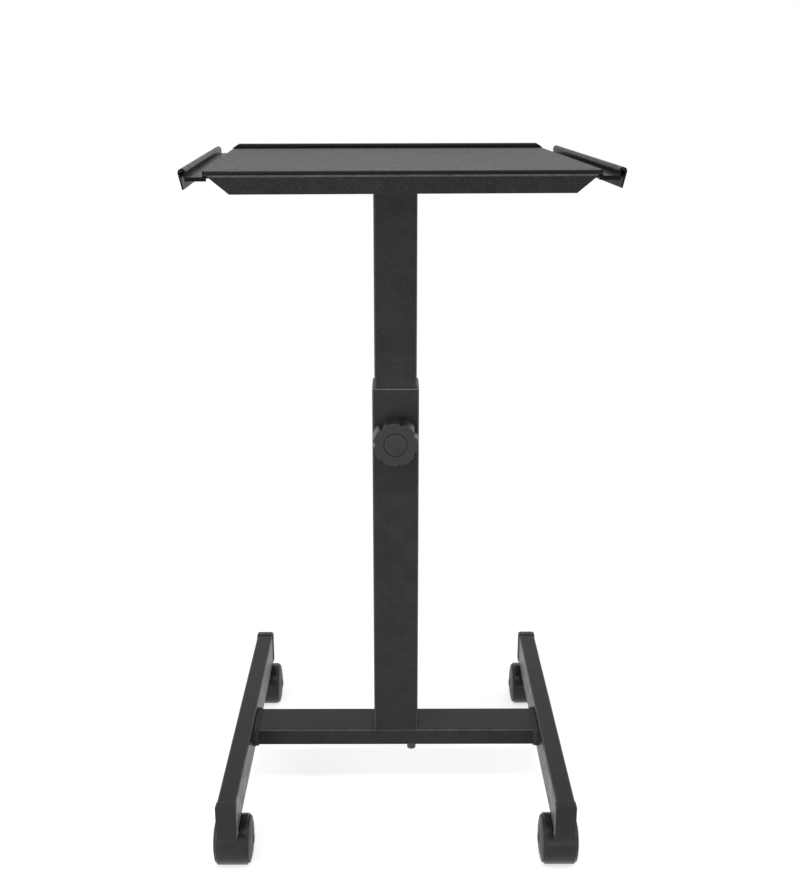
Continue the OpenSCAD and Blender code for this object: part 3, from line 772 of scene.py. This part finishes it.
@dataclass
class Wheels:
    """Caster wheels: a rounded tread, a crowned disc with a stepped ring and hub, a ribbed hollow inside."""

    crown: float = 3.2 * MM
    tread_edge: float = 1.4 * MM
    hub: float = 7.0 * MM
    bore: float = 3.08 * MM
    axle_room: float = 0.5 * MM
    step_radius: float = 17.5 * MM
    step_depth: float = 0.45 * MM
    step_width: float = 1.2 * MM
    boss_radius: float = 6.0 * MM
    boss_width: float = 1.0 * MM
    face_steps: int = 24
    turn_steps: int = 96
    seam_width: float = 0.3 * MM
    seam_depth: float = 0.12 * MM
    web: float = 1.6 * MM
    rim: float = 3.0 * MM
    ribs: int = 8
    rib_width: float = 1.2 * MM

    def face(self, radius: float, width: float) -> list[tuple[float, float]]:
        """Draws the crowned outer face from the tread to the middle.

        Args:
            radius: the wheel's radius.
            width: distance of the face's edge from the inner side.

        Returns:
            Points as distance along the axle and radius.
        """
        reach = radius - self.tread_edge
        ball = (reach**2 + self.crown**2) / (2 * self.crown)
        points = []
        for number in range(self.face_steps + 1):
            out = reach * (1 - number / self.face_steps)
            rise = math.sqrt(ball**2 - out**2) - (ball - self.crown)
            sunk = self.step_depth * self.ramp((self.step_radius - out) / self.step_width)
            sunk -= 1.5 * self.step_depth * self.ramp((self.boss_radius - out) / self.boss_width)
            points.append((width + rise - sunk, out))
        points[0] = (width, reach)
        return points

    @staticmethod
    def ramp(share: float) -> float:
        """Returns a smooth step of a share from 0 to 1."""
        share = min(1.0, max(0.0, share))
        return share * share * (3 - 2 * share)

    def wheel(self, corner: str, which: Which, material: bpy.types.Material) -> bpy.types.Object:
        """Makes one wheel.

        Args:
            corner: the corner of the cart that it is on.
            which: the outer or the inner wheel.
            material: its finish.

        Returns:
            The wheel.
        """
        node = f"{corner}_wheel_{which.value}"
        low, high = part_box(node)
        hood_low, hood_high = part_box(corner + "_housing")
        outward = 1.0 if (low.x + high.x) > (hood_low.x + hood_high.x) else -1.0
        axis = Vector((outward, 0, 0))
        inner = low.x if outward > 0 else high.x
        foot = Vector((inner, (low.y + high.y) / 2, (low.z + high.z) / 2))
        radius = (high.z - low.z) / 2
        width = high.x - low.x - self.crown
        edge = self.tread_edge
        piece = Piece(node + "_turned")
        lip = [(edge * (1 - math.cos(a)), radius - edge * (1 - math.sin(a)))
               for a in (0.0, 0.4, 0.8, 1.2, math.pi / 2)]
        outer_lip = [(width - edge * (1 - math.sin(a)), radius - edge * (1 - math.cos(a)))
                     for a in (0.0, 0.4, 0.8, 1.2)]
        middle = [(width / 2 - self.seam_width, radius), (width / 2, radius - self.seam_depth),
                  (width / 2 + self.seam_width, radius)]
        depth = width - self.web
        axle_low, axle_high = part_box(corner + "_axle")
        blind = abs((axle_high.x if outward > 0 else axle_low.x) - inner) + self.axle_room
        hollow = [(0.0, self.bore), (0.0, self.hub), (depth + 1.2 * MM, self.hub + 0.4 * MM),
                  (depth, radius - self.rim), (0.0, radius - self.rim), (0.0, radius - edge)]
        face = self.face(radius, width)
        profile = [(blind, 0.0), (blind, self.bore)] + hollow + lip[1:] + middle + outer_lip + face
        piece.turned(profile, axis, foot, self.turn_steps)
        self.add_ribs(piece, axis, foot, depth, radius)
        return piece.done(material, f"{corner}_{which.value}_wheel", [node], 32.0)

    def add_ribs(self, piece: Piece, axis: Vector, foot: Vector, depth: float, radius: float) -> None:
        """Stands the ribs of the hollow side, from the hub to the rim."""
        inner, outer = self.hub - 0.3 * MM, radius - self.rim + 0.3 * MM
        middle = (inner + outer) / 2
        for number in range(self.ribs):
            turn = Matrix.Rotation(number * math.tau / self.ribs, 4, axis)
            shape = Matrix.Diagonal((depth - 1.5 * MM, self.rib_width, outer - inner, 1.0))
            spot = axis * ((depth + 2.0 * MM) / 2) + turn @ Vector((0, 0, middle))
            place = Matrix.Translation(foot + spot) @ turn @ shape
            bmesh.ops.create_cube(piece.mesh, size=1.0, matrix=place)

    def build(self, material: bpy.types.Material) -> None:
        """Makes the eight wheels."""
        for corner in CORNERS:
            for which in Which:
                self.wheel(corner, which, material)


@dataclass
class Screws:
    """Threaded screws and nuts, in place of the plain ones."""

    foot_radius: float = 3.0 * MM
    foot_pitch: float = 1.0 * MM
    head_radius: float = 5.0 * MM
    head_height: float = 6.0 * MM
    key: float = 2.5 * MM
    key_depth: float = 3.0 * MM
    washer: float = 1.2 * MM
    washer_radius: float = 6.0 * MM
    washer_bore: float = 3.1 * MM
    washer_ease: float = 0.15 * MM
    tray_radius: float = 2.5 * MM
    tray_pitch: float = 0.8 * MM
    clamp_radius: float = 4.0 * MM
    clamp_pitch: float = 1.25 * MM
    clamp_tip: float = 1.6 * MM
    clamp_nose: float = 2.5 * MM
    clamp_nose_ease: float = 0.3 * MM
    clamp_root: float = 3.2 * MM

    @staticmethod
    def islands(node: bpy.types.Object) -> list[tuple[Vector, Vector]]:
        """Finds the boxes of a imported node's separate solids, left to right.

        Args:
            node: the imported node's object.

        Returns:
            The lowest and highest corner of each.
        """
        work = bmesh.new()
        work.from_mesh(node.data)
        bmesh.ops.remove_doubles(work, verts=work.verts[:], dist=0.001 * MM)
        left, found = set(work.verts), []
        while left:
            stack, seen = [left.pop()], []
            while stack:
                vert = stack.pop()
                seen.append(vert.co.copy())
                for edge in vert.link_edges:
                    other = edge.other_vert(vert)
                    if other in left:
                        left.remove(other)
                        stack.append(other)
            found.append((Vector([min(c[i] for c in seen) for i in range(3)]),
                          Vector([max(c[i] for c in seen) for i in range(3)])))
        work.free()
        return sorted(found, key=lambda pair: (round(pair[0].x, 4), round(pair[0].y, 4)))

    def socket_head(self, piece: Piece, foot: Vector) -> None:
        """Adds a round head with a hex socket in its lower face.

        Args:
            piece: the mesh that gets it.
            foot: the middle of the head's upper face.
        """
        ease, steps = 0.5 * MM, 48
        work = bmesh.new()
        place = Matrix.Translation(foot + Vector((0, 0, -self.head_height / 2)))
        bmesh.ops.create_cone(work, cap_ends=True, segments=steps, radius1=self.head_radius,
                              radius2=self.head_radius, depth=self.head_height, matrix=place)
        mouth = min(work.faces, key=lambda f: f.calc_center_median().z)
        bmesh.ops.bevel(work, geom=list(mouth.edges), offset=ease, offset_type="OFFSET", affect="EDGES",
                        segments=3, profile=0.5, material=-1, clamp_overlap=True)
        mouth = min(work.faces, key=lambda f: f.calc_center_median().z)
        bmesh.ops.inset_region(work, faces=[mouth], thickness=self.head_radius - ease - self.key)
        for vert in mouth.verts:
            share = vert.co.copy() - foot
            angle = math.atan2(share.y, share.x) % (math.tau / 6) - math.tau / 12
            reach = self.key * math.cos(math.tau / 12) / math.cos(angle) / math.hypot(share.x, share.y)
            vert.co = Vector((foot.x + share.x * reach, foot.y + share.y * reach, vert.co.z))
        floor = bmesh.ops.extrude_discrete_faces(work, faces=[mouth])["faces"][0]
        bmesh.ops.translate(work, verts=floor.verts[:], vec=Vector((0, 0, self.key_depth)))
        piece.join(work)

    def foot_screws(self, node: bpy.types.Object, material: bpy.types.Material) -> None:
        """Makes the two screws and washers under the crossbar."""
        piece = Piece("foot_screws_threaded")
        up = Vector((0, 0, 1))
        for low, high in self.islands(node):
            centre = (low + high) / 2
            if high.z - low.z < 2 * self.washer:
                continue
            seat = Vector((centre.x, centre.y, low.z + self.head_height))
            self.socket_head(piece, seat)
            turns = int((high.z - seat.z) / self.foot_pitch)
            piece.threaded(self.foot_radius, self.foot_pitch, turns, up, seat)
            piece.turned([(0.0, self.washer_bore), (0.0, self.washer_radius - self.washer_ease),
                          (self.washer_ease, self.washer_radius), (self.washer, self.washer_radius),
                          (self.washer, self.washer_bore)], up, seat, 48)
        piece.done(material, "cart_frame", ["foot_screws"])

    def tray_screws(self, node: bpy.types.Object, material: bpy.types.Material) -> None:
        """Makes the four countersunk screws, whose tips stand out of their nuts."""
        piece = Piece("tray_screws_threaded")
        down = Vector((0, 0, -1))
        for low, high in self.islands(node):
            centre = (low + high) / 2
            top = Vector((centre.x, centre.y, high.z))
            head = (high.x - low.x) / 2
            cone = head - self.tray_radius
            piece.turned([(0.0, 0.0), (0.0, head), (cone, self.tray_radius)], down, top, 32)
            turns = int((high.z - low.z - cone) / self.tray_pitch)
            piece.threaded(self.tray_radius, self.tray_pitch, turns, down, top + down * cone)
        piece.done(material, "mast_and_tray", ["tray_screws"])

    def clamp_screw(self, material: bpy.types.Material) -> None:
        """Makes the clamp's screw, threaded as far as the knob's hub."""
        low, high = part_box("clamp_screw")
        out = Vector((0, -1, 0))
        foot = Vector(((low.x + high.x) / 2, high.y, (low.z + high.z) / 2))
        piece = Piece("clamp_screw_threaded")
        piece.turned([(0.0, 0.0), (0.0, self.clamp_nose - self.clamp_nose_ease),
                      (self.clamp_nose_ease, self.clamp_nose), (self.clamp_tip, self.clamp_nose),
                      (self.clamp_tip, self.clamp_root)], out, foot, 32)
        turns = int((high.y - low.y - self.clamp_tip) / self.clamp_pitch)
        piece.threaded(self.clamp_radius, self.clamp_pitch, turns, out, foot + out * self.clamp_tip)
        piece.done(material, "clamp_knob", ["clamp_screw"])

    def build(self, nodes: dict[str, bpy.types.Object], material: bpy.types.Material,
              blackened: bpy.types.Material) -> None:
        """Makes all the screws.

        Args:
            nodes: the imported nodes.
            material: the finish of the tray's and the clamp's screws.
            blackened: the finish of the socket screws under the crossbar.
        """
        self.foot_screws(nodes["foot_screws"], blackened)
        self.tray_screws(nodes["tray_screws"], material)
        self.clamp_screw(material)


@dataclass(frozen=True)
class Finishes:
    """The finish of each of the record's material slots, and of the nodes that have a coat of their own."""

    steel: PowderCoat = PowderCoat()
    # The weld's pale edge colour is a painted highlight on its edges.
    weld: PowderCoat = PowderCoat("weld_coat", edge_highlight_and_fleck=(0.09, 0.088, 0.085), peel=2.2 * MM,
                                  peel_depth=0.25 * MM)
    # Painted shade: pan and rails are darker copies of the same powder coat; the rails' gloss and pale edge
    # colour are turned down as well.
    pan: PowderCoat = PowderCoat("shaded_pan_coat", dark=(0.0100, 0.0096, 0.0094), pale=(0.0170, 0.0164, 0.0162))
    rail: PowderCoat = PowderCoat("shaded_rail_coat", dark=(0.0060, 0.0058, 0.0062),
                                  pale=(0.0105, 0.0102, 0.0108), edge_highlight_and_fleck=(0.022, 0.021, 0.022), gloss=0.03)
    # The caps' edges and round corners carry a painted highlight.
    end_cap: MouldedPlastic = MouldedPlastic("end_cap_plastic", gloss=0.2, highlit_corners=True)
    knob: MouldedPlastic = MouldedPlastic("knob_plastic", dark=(0.019, 0.0185, 0.018),
                                          pale=(0.027, 0.026, 0.0255))
    housing: MouldedPlastic = MouldedPlastic("housing_plastic", dark=(0.0160, 0.0163, 0.0160),
                                             pale=(0.0230, 0.0234, 0.0230), gloss=0.25, smooth=0.20,
                                             rough=0.30)
    wheel: MouldedPlastic = MouldedPlastic("wheel_plastic", smooth=0.42, rough=0.56)
    bare_rim: float = 0.6 * MM

    def materials(self) -> dict[str, bpy.types.Material]:
        """Returns a material for each slot, and one for the welds."""
        return {
            "powder_black": self.steel.material(),
            "weld": self.weld.material(),
            "end_cap_black": self.end_cap.material(),
            "knob_black": self.knob.material(),
            "housing_black": self.housing.material(),
            "wheel_black": self.wheel.material(),
            "zinc_steel": ZincPlate().material(),
            "nylon": BlackNylon().material(),
            "mat_grey": RibbedMat().material(),
        }

    def dress(self, nodes: dict[str, bpy.types.Object], record: dict,
              materials: dict[str, bpy.types.Material]) -> None:
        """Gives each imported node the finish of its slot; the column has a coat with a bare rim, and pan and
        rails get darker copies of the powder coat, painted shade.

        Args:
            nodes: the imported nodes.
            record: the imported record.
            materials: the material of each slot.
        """
        slots = {part["node"]: part["material_slot"] for part in record["subparts"]}
        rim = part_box("column")[1].z - self.bare_rim
        rails = self.rail.material()
        own = {
            "column": PowderCoat("column_coat", bare_above=rim).material(),
            # The darker coats of pan and rails are painted shade.
            "tray_pan": self.pan.material(),
            "left_rail": rails,
            "right_rail": rails,
        }
        for name, node in nodes.items():
            finish = own.get(name, materials[slots[name]])
            if not node.data.materials:
                node.data.materials.append(finish)
            for number in range(len(node.data.materials)):
                node.data.materials[number] = finish
        LOG.info("dressed %d packed nodes", len(nodes))


@dataclass(frozen=True)
class Lamp:
    """A soft rectangular lamp: where it hangs, its width and height, its power in watts and its aim."""

    name: str
    place: tuple[float, float, float]
    size: tuple[float, float]
    power: float
    aim: tuple[float, float, float] = (0, 0, 0.35)

    def hang(self) -> None:
        """Hangs the lamp, unseen by the camera."""
        data = bpy.data.lights.new(self.name, "AREA")
        data.shape = "RECTANGLE"
        data.size, data.size_y = self.size
        data.energy = self.power
        lamp = bpy.data.objects.new(self.name, data)
        lamp.location = self.place
        lamp.rotation_euler = (Vector(self.aim) - Vector(self.place)).to_track_quat("-Z", "Y").to_euler()
        lamp.visible_camera = False
        bpy.context.scene.collection.objects.link(lamp)


@dataclass
class Studio:
    """Pale floor, white surroundings, soft lamps and the camera."""

    column_back: float = -16.75 * MM
    camera_place: tuple[float, float, float] = (0.2 * MM, -1245.4 * MM, 813.2 * MM)
    camera_down: float = 17.23
    camera_right: float = 0.21
    focal_pixels: float = 1190.0
    image_width: float = 800.0
    sensor: float = 36.0
    sky_light: float = 0.38
    floor_half: float = 6.0
    floor_colour: Colour = (0.80, 0.80, 0.80)
    floor_glow: float = 0.645
    fade_near: float = 0.30
    fade_far: float = 0.75
    lamps: tuple[Lamp, ...] = (
        Lamp("key_lamp", (-0.95, -1.35, 0.60), (0.8, 1.0), 10.0),
        Lamp("front_lamp", (0.5, -2.1, 0.35), (1.6, 0.6), 3.5),
        Lamp("side_lamp", (1.9, 0.3, 0.8), (1.0, 1.6), 6.0),
        Lamp("strip_lamp", (0, -1.2, 2.0), (1.6, 0.25), 12.0),
    )

    def camera(self) -> None:
        """Stands the camera where the photograph was taken from."""
        data = bpy.data.cameras.new("camera")
        data.sensor_fit = "HORIZONTAL"
        data.sensor_width = self.sensor
        data.lens = self.focal_pixels * self.sensor / self.image_width
        data.clip_start = 0.05
        eye = bpy.data.objects.new("camera", data)
        across, back, up = self.camera_place
        eye.location = (across, back + self.column_back, up)
        eye.rotation_euler = (math.radians(90 - self.camera_down), 0, -math.radians(self.camera_right))
        bpy.context.scene.collection.objects.link(eye)
        bpy.context.scene.camera = eye

    def surroundings(self) -> None:
        """Makes the surroundings white to the eye and in reflections, and softer as a light."""
        world = bpy.data.worlds.new("surroundings")
        bpy.context.scene.world = world
        world.use_nodes = True
        graph = NodeGraph(world.node_tree)
        background = graph.tree.nodes["Background"]
        path, seen = graph.seen()
        clear = graph.sum(Sum.MAXIMUM, seen, path.outputs["Is Transmission Ray"])
        level = graph.add("ShaderNodeMapRange")
        level.inputs["To Min"].default_value = self.sky_light
        level.inputs["To Max"].default_value = 1.0
        graph.join(clear, level.inputs["Value"])
        graph.join(level.outputs["Result"], background.inputs["Strength"])
        background.inputs["Color"].default_value = (1, 1, 1, 1)

    def floor_material(self) -> bpy.types.Material:
        """Makes the floor's material: matte near the cart, and white to the eye away from it.

        Returns:
            The material.
        """
        material = bpy.data.materials.new("floor")
        material.use_nodes = True
        graph = NodeGraph(material.node_tree)
        graph.tree.nodes.remove(graph.tree.nodes["Principled BSDF"])
        matte = graph.add("ShaderNodeBsdfDiffuse")
        matte.inputs["Color"].default_value = (*self.floor_colour, 1)
        glow = graph.add("ShaderNodeEmission")
        seen = graph.seen()[1]
        graph.join(graph.sum(Sum.MULTIPLY, seen, self.floor_glow), glow.inputs["Strength"])
        near = graph.add("ShaderNodeAddShader")
        graph.join(matte.outputs[0], near.inputs[0])
        graph.join(glow.outputs[0], near.inputs[1])
        distance = graph.add("ShaderNodeVectorMath", operation="LENGTH")
        graph.join(graph.add("ShaderNodeTexCoord").outputs["Object"], distance.inputs[0])
        fade = graph.add("ShaderNodeMapRange", interpolation_type="SMOOTHSTEP")
        fade.inputs["From Min"].default_value = self.fade_near
        fade.inputs["From Max"].default_value = self.fade_far
        graph.join(distance.outputs["Value"], fade.inputs["Value"])
        mix = graph.add("ShaderNodeMixShader")
        graph.join(graph.sum(Sum.MULTIPLY, fade.outputs["Result"], seen), mix.inputs[0])
        graph.join(near.outputs[0], mix.inputs[1])
        graph.join(graph.add("ShaderNodeEmission").outputs[0], mix.inputs[2])
        graph.join(mix.outputs[0], graph.tree.nodes["Material Output"].inputs["Surface"])
        return material

    def floor(self) -> None:
        """Lays the floor: it takes the cart's shadow, and fades to white away from it."""
        work = bmesh.new()
        bmesh.ops.create_grid(work, x_segments=1, y_segments=1, size=self.floor_half)
        data = bpy.data.meshes.new("floor")
        work.to_mesh(data)
        work.free()
        ground = bpy.data.objects.new("floor", data)
        bpy.context.scene.collection.objects.link(ground)
        data.materials.append(self.floor_material())

    def build(self) -> None:
        """Sets up the whole studio."""
        bpy.context.scene.view_settings.view_transform = "Standard"
        self.camera()
        self.surroundings()
        self.floor()
        for lamp in self.lamps:
            lamp.hang()


def main() -> None:
    """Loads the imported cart, dresses it, adds the finer pieces and sets up the studio."""
    logging.basicConfig(level=logging.INFO, format="%(name)s: %(message)s")
    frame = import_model()
    finishes = Finishes()
    materials = finishes.materials()
    finishes.dress(frame["nodes"], frame["record"], materials)
    WeldBeads().build(materials["weld"])
    EndCaps().build(materials["end_cap_black"])
    Wheels().build(materials["wheel_black"])
    Screws().build(frame["nodes"], materials["zinc_steel"], BlackOxide().material())
    Studio().build()


if __name__ == "__main__":
    main()
